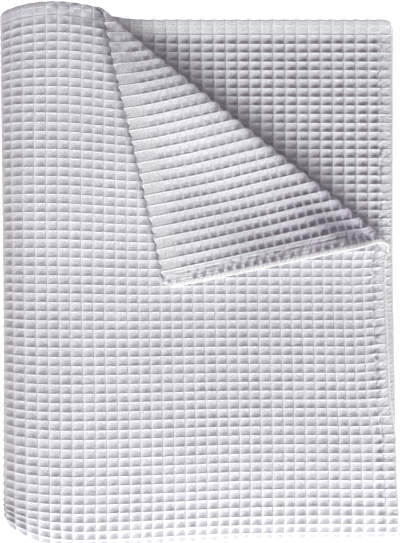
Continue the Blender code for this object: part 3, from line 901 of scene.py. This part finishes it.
def cloth_heights(u, v, side):
    """Height of the skins over the middle surface, and the wall's bulge outwards."""
    front = side > 0.0
    skin = np.abs(side) > 1.0 - NEAR_LEVEL
    edge_u = edge_distance_u(u)
    edge_v = edge_distance_v(v)
    extra = REVERSE_EXTRA * ease(roll_distance(u, v) / REVERSE_EXTRA_OVER) * (1.0 - front)
    half = RIDGE_TO_RIDGE / 2.0
    past_rim = ease((np.minimum(edge_u, edge_v) - RIM_OUT) / RIM_SHOULDER_OVER)
    shoulder = RIM_SHOULDER + (1.0 - RIM_SHOULDER) * past_rim
    level = (half + extra - pit_depth(u, v, front)) * shoulder
    height = np.where(skin, np.sign(side) * level, side * half * RIM_SHOULDER)
    bulge = np.where(skin, 0.0, RIM_OUT * np.sqrt(1.0 - RIM_FULL * side * side))
    wave = RIM_WAVE * (RIM_WAVE_LEAST + (1.0 - RIM_WAVE_LEAST) * on_turned_corner(u, v))
    wave = wave * np.cos(2.0 * math.pi * cell_places(u, v, REVERSE_SHIFT)[0])
    out_u = np.where(edge_u < RIM_OUT + AT_RIM, np.sign(u) * bulge, 0.0)
    out_v = np.where(edge_v < RIM_OUT + AT_RIM, np.sign(v) * (bulge + wave), 0.0)
    return height, out_u, out_v


def hem_shift(u, v):
    """How far the side hems are shifted outwards, seen along the flat cloth."""
    inset = HEM_INSET * fade_in(u, INSET_RIGHT) * fade_in(v, INSET_FROM) * fade_out(v, INSET_TO)
    flare = HEM_FLARE * fade_in(np.abs(u), FLARE_RIGHT) * ease(1.0 - np.abs(v) / FLARE_REACH)
    return np.sign(u) * flare - inset


def painted_shade(u, v, front):
    """Painted shade: how grey the cloth is painted, 0 on the ridges, 1 where the cells are
    deepest, with more in the hollows of the turned corner, the rumpled knot, the drawn-up place
    and the outside of the bottom fold.
    """
    pit = pit_depth(u, v, front)
    level = np.clip(pit / FRONT_DEPTH, 0.0, FRONT_SHADE_REACH)
    grey = np.where(front, FRONT_SHADE * level ** FRONT_SHADE_CURVE, pit / BACK_DEPTH)
    shaded = towards_roll_end(u, v)
    inside = fade_in(edge_distance_u(u), INSIDE_HEMS) * fade_in(edge_distance_v(v), INSIDE_HEMS)
    pits = (TURNED_SHADE + (1.0 - TURNED_SHADE) * shaded) * turned_pits(u, v) * inside
    turned_grey = np.maximum(pits, HEM_SPOT_SHADE * hem_spots(u, v))
    uneven = TURNED_SHADE_UNEVEN * grain(u, v, TURNED_SHADE_GRAIN, "turned shade")
    turned_grey = turned_grey * (TURNED_SHADE_LEAST + uneven) + ROLL_END_SHADE * shaded
    turned_grey = turned_grey + TURNED_SHADE_DEPTH * grey
    grey = grey + (turned_grey - grey) * on_turned_corner(u, v) * (1.0 - front)
    rumpled, rumple = knot(u, v)
    grey = grey + KNOT_SHADE * rumpled * ease(KNOT_CONTRAST[0] * rumple + KNOT_CONTRAST[1])
    away_u = (u - DRAWN_UP_PLACE[0]) / DRAWN_UP_HALF[0]
    away_v = (v - DRAWN_UP_PLACE[1]) / DRAWN_UP_HALF[1]
    grey = grey + DRAWN_UP_SHADE * np.exp(-away_u ** 2 - away_v ** 2) * front
    return grey + BOTTOM_SHADE * ease(1.0 - np.abs(v) / BOTTOM_SHADE_REACH) * front


def stitch_band(u):
    """Where the slanting stitches of the side hems show, and further in their faint ends."""
    edge_u = edge_distance_u(u)
    band = fade_in(edge_u, STITCH_FROM) * fade_out(edge_u, STITCH_TO)
    faint = fade_in(edge_u, FAINT_STITCH_FROM) * fade_out(edge_u, FAINT_STITCH_TO)
    return band + FAINT_STITCH * faint


def put_in_order(bm):
    """Sort points, edges and faces by their places, so that every run stores them alike."""
    def number(place):
        return place.dot(ORDER)

    bm.verts.sort(key=lambda vert: number(vert.co))
    bm.edges.sort(key=lambda edge: number(edge.verts[0].co + edge.verts[1].co))
    bm.faces.sort(key=lambda face: number(face.calc_center_median()))


def mesh_from(bm, name):
    """A mesh of this name, and the end of the bmesh that it is made from."""
    mesh = bpy.data.meshes.new(name)
    bm.to_mesh(mesh)
    bm.free()
    return mesh


def add_object(name, data):
    """A new object in the scene, at the origin."""
    thing = bpy.data.objects.new(name, data)
    bpy.context.scene.collection.objects.link(thing)
    return thing


def keep_as_uv_map(mesh, name, across, along):
    """Keep two values of every vertex as a UV map."""
    corners = np.zeros(len(mesh.loops), dtype=np.int32)
    mesh.loops.foreach_get("vertex_index", corners)
    layer = mesh.uv_layers.new(name=name)
    layer.uv.foreach_set("vector", np.stack([across, along], axis=1)[corners].ravel())


def fold_mesh(mesh):
    """Give the flat slab its cells, hems and folds, and keep what the cotton needs of it."""
    flat = np.zeros(len(mesh.vertices) * 3)
    mesh.vertices.foreach_get("co", flat)
    u, v, side = flat.reshape(-1, 3).T
    side = side / (RIDGE_TO_RIDGE / 2.0)
    height, out_u, out_v = cloth_heights(u, v, side)
    round_u, round_v = round_corners(u, v)
    columns = COLUMN_WANDER * wander(u, v, CELL_WIDTH, "columns")
    rows = ROW_WANDER * wander(v, u, CELL_LENGTH, "rows")
    du = out_u + round_u + columns * fade_in(edge_distance_u(u), WANDER_FREE) + hem_shift(u, v)
    dv = out_v + round_v + rows * fade_in(edge_distance_v(v), WANDER_FREE)
    mesh.vertices.foreach_set("co", fold_points(u, v, height, du, dv).ravel())
    front = side > 0.0
    cell_u, cell_v = cell_places(u, v, np.where(front, 0.0, REVERSE_SHIFT))
    keep_as_uv_map(mesh, "flat_cloth", cell_u, cell_v * np.where(v < 0.0, -1.0, 1.0))
    rim = 1.0 - fade_in(edge_distance_u(u), RIM_TO_HEM)
    keep_as_uv_map(mesh, "cloth_relief", painted_shade(u, v, front), rim)
    # painted light: the turned corner takes back some of the front's lighter colour
    lighter = TURNED_LIGHTER * on_turned_corner(u, v)
    keep_as_uv_map(mesh, "cloth_side", np.where(front, 0.0, 1.0 - lighter), stitch_band(u))
    mesh.update()


def cloth_piece(name, spans, hems, fine_u, fine_v, coarse_back=False, corner=None,
                reverse=False):
    """One piece of the cloth between the lines of spans: low u, high u, low v, high v.

    hems says on which of these four there is a hem. coarse_back is for a piece whose back
    nobody sees. corner is True for the turned corner, False for what it is cut from and None
    where nothing is cut. reverse is for a piece that shows its reverse.
    """
    middle = np.array([(spans[2] + spans[3]) / 2.0])
    width, length, start_u, start_v = (float(value[0]) for value in cell_sizes(middle))
    shift = REVERSE_SHIFT if reverse else 0.0
    places = NEAR_BOTH if corner else NEAR_RIDGE
    columns = lines_between(spans[0], spans[1], width, start_u + shift * width,
                            hems[0], hems[1], fine_u, places)
    rows = lines_between(spans[2], spans[3], length, start_v + shift * length,
                         hems[2], hems[3], fine_v, places)
    bm = slab(columns, rows, coarse_back)
    to_flat_cloth(bm, columns, rows)
    if corner is not None:
        cut_at_roll(bm, corner)
    put_in_order(bm)
    for face in bm.faces:
        face.smooth = True
    mesh = mesh_from(bm, name)
    fold_mesh(mesh)
    return add_object(name, mesh)


# ====================================================================== materials
def calc(tree, operation, *terms):
    """A math node for these terms, each a number or a socket. Gives its result."""
    node = tree.nodes.new("ShaderNodeMath")
    node.operation = operation
    for socket, term in zip(node.inputs, terms):
        if isinstance(term, (int, float)):
            socket.default_value = term
        else:
            tree.links.new(term, socket)
    return node.outputs["Value"]


def blend(tree, share, first, second):
    """A colour between two colours, each a tuple or a socket. Gives its result."""
    node = tree.nodes.new("ShaderNodeMix")
    node.data_type = "RGBA"
    for socket, term in ((node.inputs[0], share), (node.inputs[6], first),
                         (node.inputs[7], second)):
        if isinstance(term, (float, tuple)):
            socket.default_value = term
        else:
            tree.links.new(term, socket)
    return node.outputs[2]


def noise(tree, vector, settings):
    """Smooth random values from 0 to 1. The settings are scale, detail and roughness."""
    node = tree.nodes.new("ShaderNodeTexNoise")
    for name, value in zip(("Scale", "Detail", "Roughness"), settings):
        node.inputs[name].default_value = value
    tree.links.new(vector, node.inputs["Vector"])
    return node.outputs["Fac"]


def uv_parts(tree, name):
    """The two values of a UV map."""
    kept = tree.nodes.new("ShaderNodeUVMap")
    kept.uv_map = name
    parts = tree.nodes.new("ShaderNodeSeparateXYZ")
    tree.links.new(kept.outputs["UV"], parts.inputs["Vector"])
    return parts.outputs["X"], parts.outputs["Y"]


def stripe(tree, value, place, half):
    """1 where the value is at this place, falling to 0 at half the stripe's width."""
    away = calc(tree, "ABSOLUTE", calc(tree, "SUBTRACT", value, place))
    return calc(tree, "MAXIMUM", calc(tree, "MULTIPLY_ADD", away, -1.0 / half, 1.0), 0.0)


def ridge_lines(tree, places):
    """Masks of the thin ridge lines both ways, for bumps and a painted highlight, and of the
    painted shadow in the crease under each row.
    """
    lines = []
    for place in places:
        part = calc(tree, "FRACT", calc(tree, "ADD", place, 0.5))
        lines.append(stripe(tree, part, 0.5, RIDGE_LINE_HALF))
    crease = stripe(tree, calc(tree, "FRACT", places[1]), CREASE_PLACE, CREASE_HALF)
    crease = calc(tree, "MULTIPLY", crease, calc(tree, "SUBTRACT", 1.0, lines[0]))
    return lines, crease


def thread_height(tree, places, stray):
    """Threads that go over and under each other, 0 to 1."""
    waves = []
    for place, count in zip(places, (THREADS_IN_WIDTH, THREADS_IN_LENGTH)):
        turn = calc(tree, "MULTIPLY", calc(tree, "ADD", place, stray), math.pi * count)
        waves.append(calc(tree, "SINE", turn))
    crossing = calc(tree, "MULTIPLY", waves[0], waves[1])
    over = calc(tree, "MULTIPLY_ADD", crossing, THREAD_CROSSING, 0.5)
    over = calc(tree, "MINIMUM", calc(tree, "MAXIMUM", over, 0.0), 1.0)
    under = calc(tree, "SUBTRACT", 1.0, over)
    warp = calc(tree, "MULTIPLY", calc(tree, "ABSOLUTE", waves[0]), over)
    weft = calc(tree, "MULTIPLY", calc(tree, "ABSOLUTE", waves[1]), under)
    return calc(tree, "ADD", warp, weft)


def slanting_stitches(tree, places, stray, cells, stitched):
    """The slanting stitches where the hems are stitched, some of them faint."""
    slant = calc(tree, "MULTIPLY_ADD", places[0], STITCH_SLANT, stray)
    slant = calc(tree, "MULTIPLY_ADD", places[1], STITCHES_IN_CELL, slant)
    stitch = calc(tree, "SINE", calc(tree, "MULTIPLY", slant, 2.0 * math.pi))
    uneven = calc(tree, "MULTIPLY_ADD", noise(tree, cells, STITCH_NOISE), *STITCH_CONTRAST)
    stitch = calc(tree, "MULTIPLY", calc(tree, "MAXIMUM", stitch, 0.0), uneven)
    return calc(tree, "MULTIPLY", calc(tree, "MAXIMUM", stitch, 0.0), stitched)


def woven_threads():
    """Threads over and under each other, the fuzz of soft cotton and the hems' stitches."""
    tree = bpy.data.node_groups.new("woven_threads", "ShaderNodeTree")
    tree.interface.new_socket("Cells", in_out="INPUT", socket_type="NodeSocketVector")
    tree.interface.new_socket("Stitched", in_out="INPUT", socket_type="NodeSocketFloat")
    inside = tree.nodes.new("NodeGroupInput")
    cells = inside.outputs["Cells"]
    parts = tree.nodes.new("ShaderNodeSeparateXYZ")
    tree.links.new(cells, parts.inputs["Vector"])
    places = (parts.outputs["X"], parts.outputs["Y"])
    lines, crease = ridge_lines(tree, places)
    stray = calc(tree, "MULTIPLY", noise(tree, cells, THREAD_STRAY_NOISE), THREAD_STRAY)
    fuzz = noise(tree, cells, FUZZ_NOISE)
    ridge = calc(tree, "MAXIMUM", lines[0], calc(tree, "MULTIPLY", lines[1], ROW_LINE_SHARE))
    stitch = slanting_stitches(tree, places, stray, cells, inside.outputs["Stitched"])
    height = calc(tree, "MULTIPLY", thread_height(tree, places, stray), THREADS_SHARE)
    for part, share in ((fuzz, FUZZ_SHARE), (ridge, RIDGE_SHARE), (stitch, STITCH_SHARE)):
        height = calc(tree, "MULTIPLY_ADD", part, share, height)
    results = {"Height": height, "Fuzz": fuzz, "Patches": noise(tree, cells, PATCH_NOISE),
               "Ridge Highlight": ridge, "Crease Shadow": crease, "Stitches": stitch}
    for name in results:
        tree.interface.new_socket(name, in_out="OUTPUT", socket_type="NodeSocketFloat")
    outside = tree.nodes.new("NodeGroupOutput")
    for name, result in results.items():
        tree.links.new(result, outside.inputs[name])
    return tree


def waffle_cotton():
    """White cotton, with painted light and shade: lavender grey painted shade in the cells, a
    darker reverse as painted shade, a painted highlight on the thin ridge lines, a painted shadow
    under each row, and a cream rim on the hems, darkened as painted shade.
    """
    material = bpy.data.materials.new("waffle_cotton")
    material.use_nodes = True
    tree = material.node_tree
    shader = tree.nodes["Principled BSDF"]
    cells = tree.nodes.new("ShaderNodeUVMap")
    cells.uv_map = "flat_cloth"
    threads = tree.nodes.new("ShaderNodeGroup")
    threads.node_tree = woven_threads()
    tree.links.new(cells.outputs["UV"], threads.inputs["Cells"])
    grey, rim = uv_parts(tree, "cloth_relief")
    reverse, stitched = uv_parts(tree, "cloth_side")
    tree.links.new(stitched, threads.inputs["Stitched"])
    ridge_color = blend(tree, reverse, RIDGE_COLOR, REVERSE_COLOR)
    highlight_color = blend(tree, reverse, RIDGE_HIGHLIGHT_WHITE, REVERSE_RIDGE_HIGHLIGHT)
    cell_shade_color = blend(tree, reverse, CELL_SHADE_COLOR, REVERSE_CELL_SHADE_COLOR)
    # painted shade in the cells, hollows and folds, from the ridges' colour to the painted shade
    # colour
    color = blend(tree, calc(tree, "MINIMUM", grey, 1.0), ridge_color, cell_shade_color)
    # painted shadow in the crease under each row, painted highlight on the thin ridge lines,
    # white stitches, and the rims' cream darkened as painted shade
    for mask, share, over in ((threads.outputs["Crease Shadow"], CREASE_SHADOW_SHARE, CREASE_SHADOW_COLOR),
                              (threads.outputs["Ridge Highlight"], RIDGE_HIGHLIGHT_SHARE, highlight_color),
                              (threads.outputs["Stitches"], STITCH_WHITE, RIDGE_HIGHLIGHT_WHITE),
                              (rim, RIM_CREAM, RIM_COLOR)):
        color = blend(tree, calc(tree, "MULTIPLY", mask, share), color, over)
    fuzz = calc(tree, "SUBTRACT", threads.outputs["Fuzz"], 0.5)
    patches = calc(tree, "SUBTRACT", threads.outputs["Patches"], 0.5)
    light = calc(tree, "MULTIPLY_ADD", fuzz, FUZZ_CONTRAST, 1.0)
    light = calc(tree, "MULTIPLY_ADD", patches, PATCH_CONTRAST, light)
    scale = tree.nodes.new("ShaderNodeVectorMath")
    scale.operation = "SCALE"
    tree.links.new(color, scale.inputs[0])
    tree.links.new(light, scale.inputs["Scale"])
    tree.links.new(scale.outputs["Vector"], shader.inputs["Base Color"])
    rough = calc(tree, "MULTIPLY_ADD", fuzz, ROUGHNESS_UNEVEN, ROUGHNESS)
    tree.links.new(rough, shader.inputs["Roughness"])
    bump = tree.nodes.new("ShaderNodeBump")
    bump.inputs["Strength"].default_value = BUMP_STRENGTH
    bump.inputs["Distance"].default_value = THREAD_HEIGHT
    tree.links.new(threads.outputs["Height"], bump.inputs["Height"])
    tree.links.new(bump.outputs["Normal"], shader.inputs["Normal"])
    shader.inputs["Sheen Weight"].default_value = SHEEN
    shader.inputs["Sheen Roughness"].default_value = SHEEN_ROUGHNESS
    shader.inputs["Specular IOR Level"].default_value = SPECULAR
    return material


def floor_white():
    """The white paper under the blanket."""
    material = bpy.data.materials.new("floor_white")
    material.use_nodes = True
    shader = material.node_tree.nodes["Principled BSDF"]
    shader.inputs["Base Color"].default_value = FLOOR_COLOR
    shader.inputs["Roughness"].default_value = 1.0
    shader.inputs["Emission Color"].default_value = FLOOR_GLOW
    shader.inputs["Emission Strength"].default_value = 1.0
    return material


# ==================================================================== camera and light
def set_camera():
    """Straight above the middle of the blanket, as in the photo."""
    data = bpy.data.cameras.new("camera")
    data.sensor_width = SENSOR_WIDTH
    data.lens = SENSOR_WIDTH * CAMERA_HEIGHT / PHOTO_SCALE / IMAGE_HEIGHT
    data.clip_start = 0.01
    camera = add_object("camera", data)
    camera.location = (CAMERA_PLACE[0] - STACK_MIDDLE[0], CAMERA_PLACE[1] - STACK_MIDDLE[1],
                       FLAT_TOP + CAMERA_HEIGHT)
    bpy.context.scene.camera = camera


def area_light(name, place, size, energy, color):
    """A soft light that shines at the middle of the blanket."""
    data = bpy.data.lights.new(name, "AREA")
    data.shape = "RECTANGLE"
    data.size = size[0]
    data.size_y = size[1]
    data.energy = energy
    data.color = color
    light = add_object(name, data)
    light.location = place
    light.rotation_euler = (-light.location).to_track_quat("-Z", "Y").to_euler()


def set_lights():
    """A soft light from the lower right, a weak one from the left, even light all round."""
    area_light("key", KEY_PLACE, KEY_SIZE, KEY_WATTS, KEY_COLOR)
    area_light("fill", FILL_PLACE, FILL_SIZE, FILL_WATTS, FILL_COLOR)
    world = bpy.data.worlds.new("world")
    world.use_nodes = True
    background = world.node_tree.nodes["Background"]
    background.inputs["Color"].default_value = ROUND_COLOR
    background.inputs["Strength"].default_value = ROUND_STRENGTH
    bpy.context.scene.world = world


def set_floor():
    """A plain white floor."""
    bm = bmesh.new()
    bmesh.ops.create_grid(bm, x_segments=1, y_segments=1, size=FLOOR_SIZE)
    floor = add_object("floor", mesh_from(bm, "floor"))
    floor.data.materials.append(floor_white())


def main():
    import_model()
    bpy.context.scene.view_settings.view_transform = "Standard"
    set_camera()
    set_lights()
    set_floor()
    top = cloth_piece(
        "cloth_top_layer", (-WRAP_UNDER, HALF_WIDTH, -WRAP_INSIDE, HALF_LENGTH_OUTER),
        (False, True, False, True), EVERYWHERE, EVERYWHERE, coarse_back=True, corner=False)
    turned = cloth_piece(
        "cloth_turned_corner", (TURNED_LEFT, HALF_WIDTH, TURNED_LOW, HALF_LENGTH_OUTER),
        (False, True, False, True), EVERYWHERE, EVERYWHERE, corner=True, reverse=True)
    second = cloth_piece(
        "cloth_second_layer", (-WRAP_UNDER, HALF_WIDTH, -HALF_LENGTH_INNER, -WRAP_INSIDE),
        (False, True, True, False), RIGHT_IN_LAYER_TWO, TOP_IN_LAYER_TWO, reverse=True)
    third = cloth_piece(
        "cloth_third_layer", (-HALF_WIDTH, -WRAP_UNDER, -HALF_LENGTH_INNER, -WRAP_INSIDE),
        (True, False, True, False), NOWHERE, NOWHERE)
    bottom = cloth_piece(
        "cloth_bottom_layer", (-HALF_WIDTH, -WRAP_UNDER, -WRAP_INSIDE, HALF_LENGTH_OUTER),
        (True, False, False, True), NOWHERE, NOWHERE)
    cotton = waffle_cotton()
    for piece in (top, turned, second, third, bottom):
        piece.data.materials.append(cotton)
        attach(piece, "root")
    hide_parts("blanket")


main()
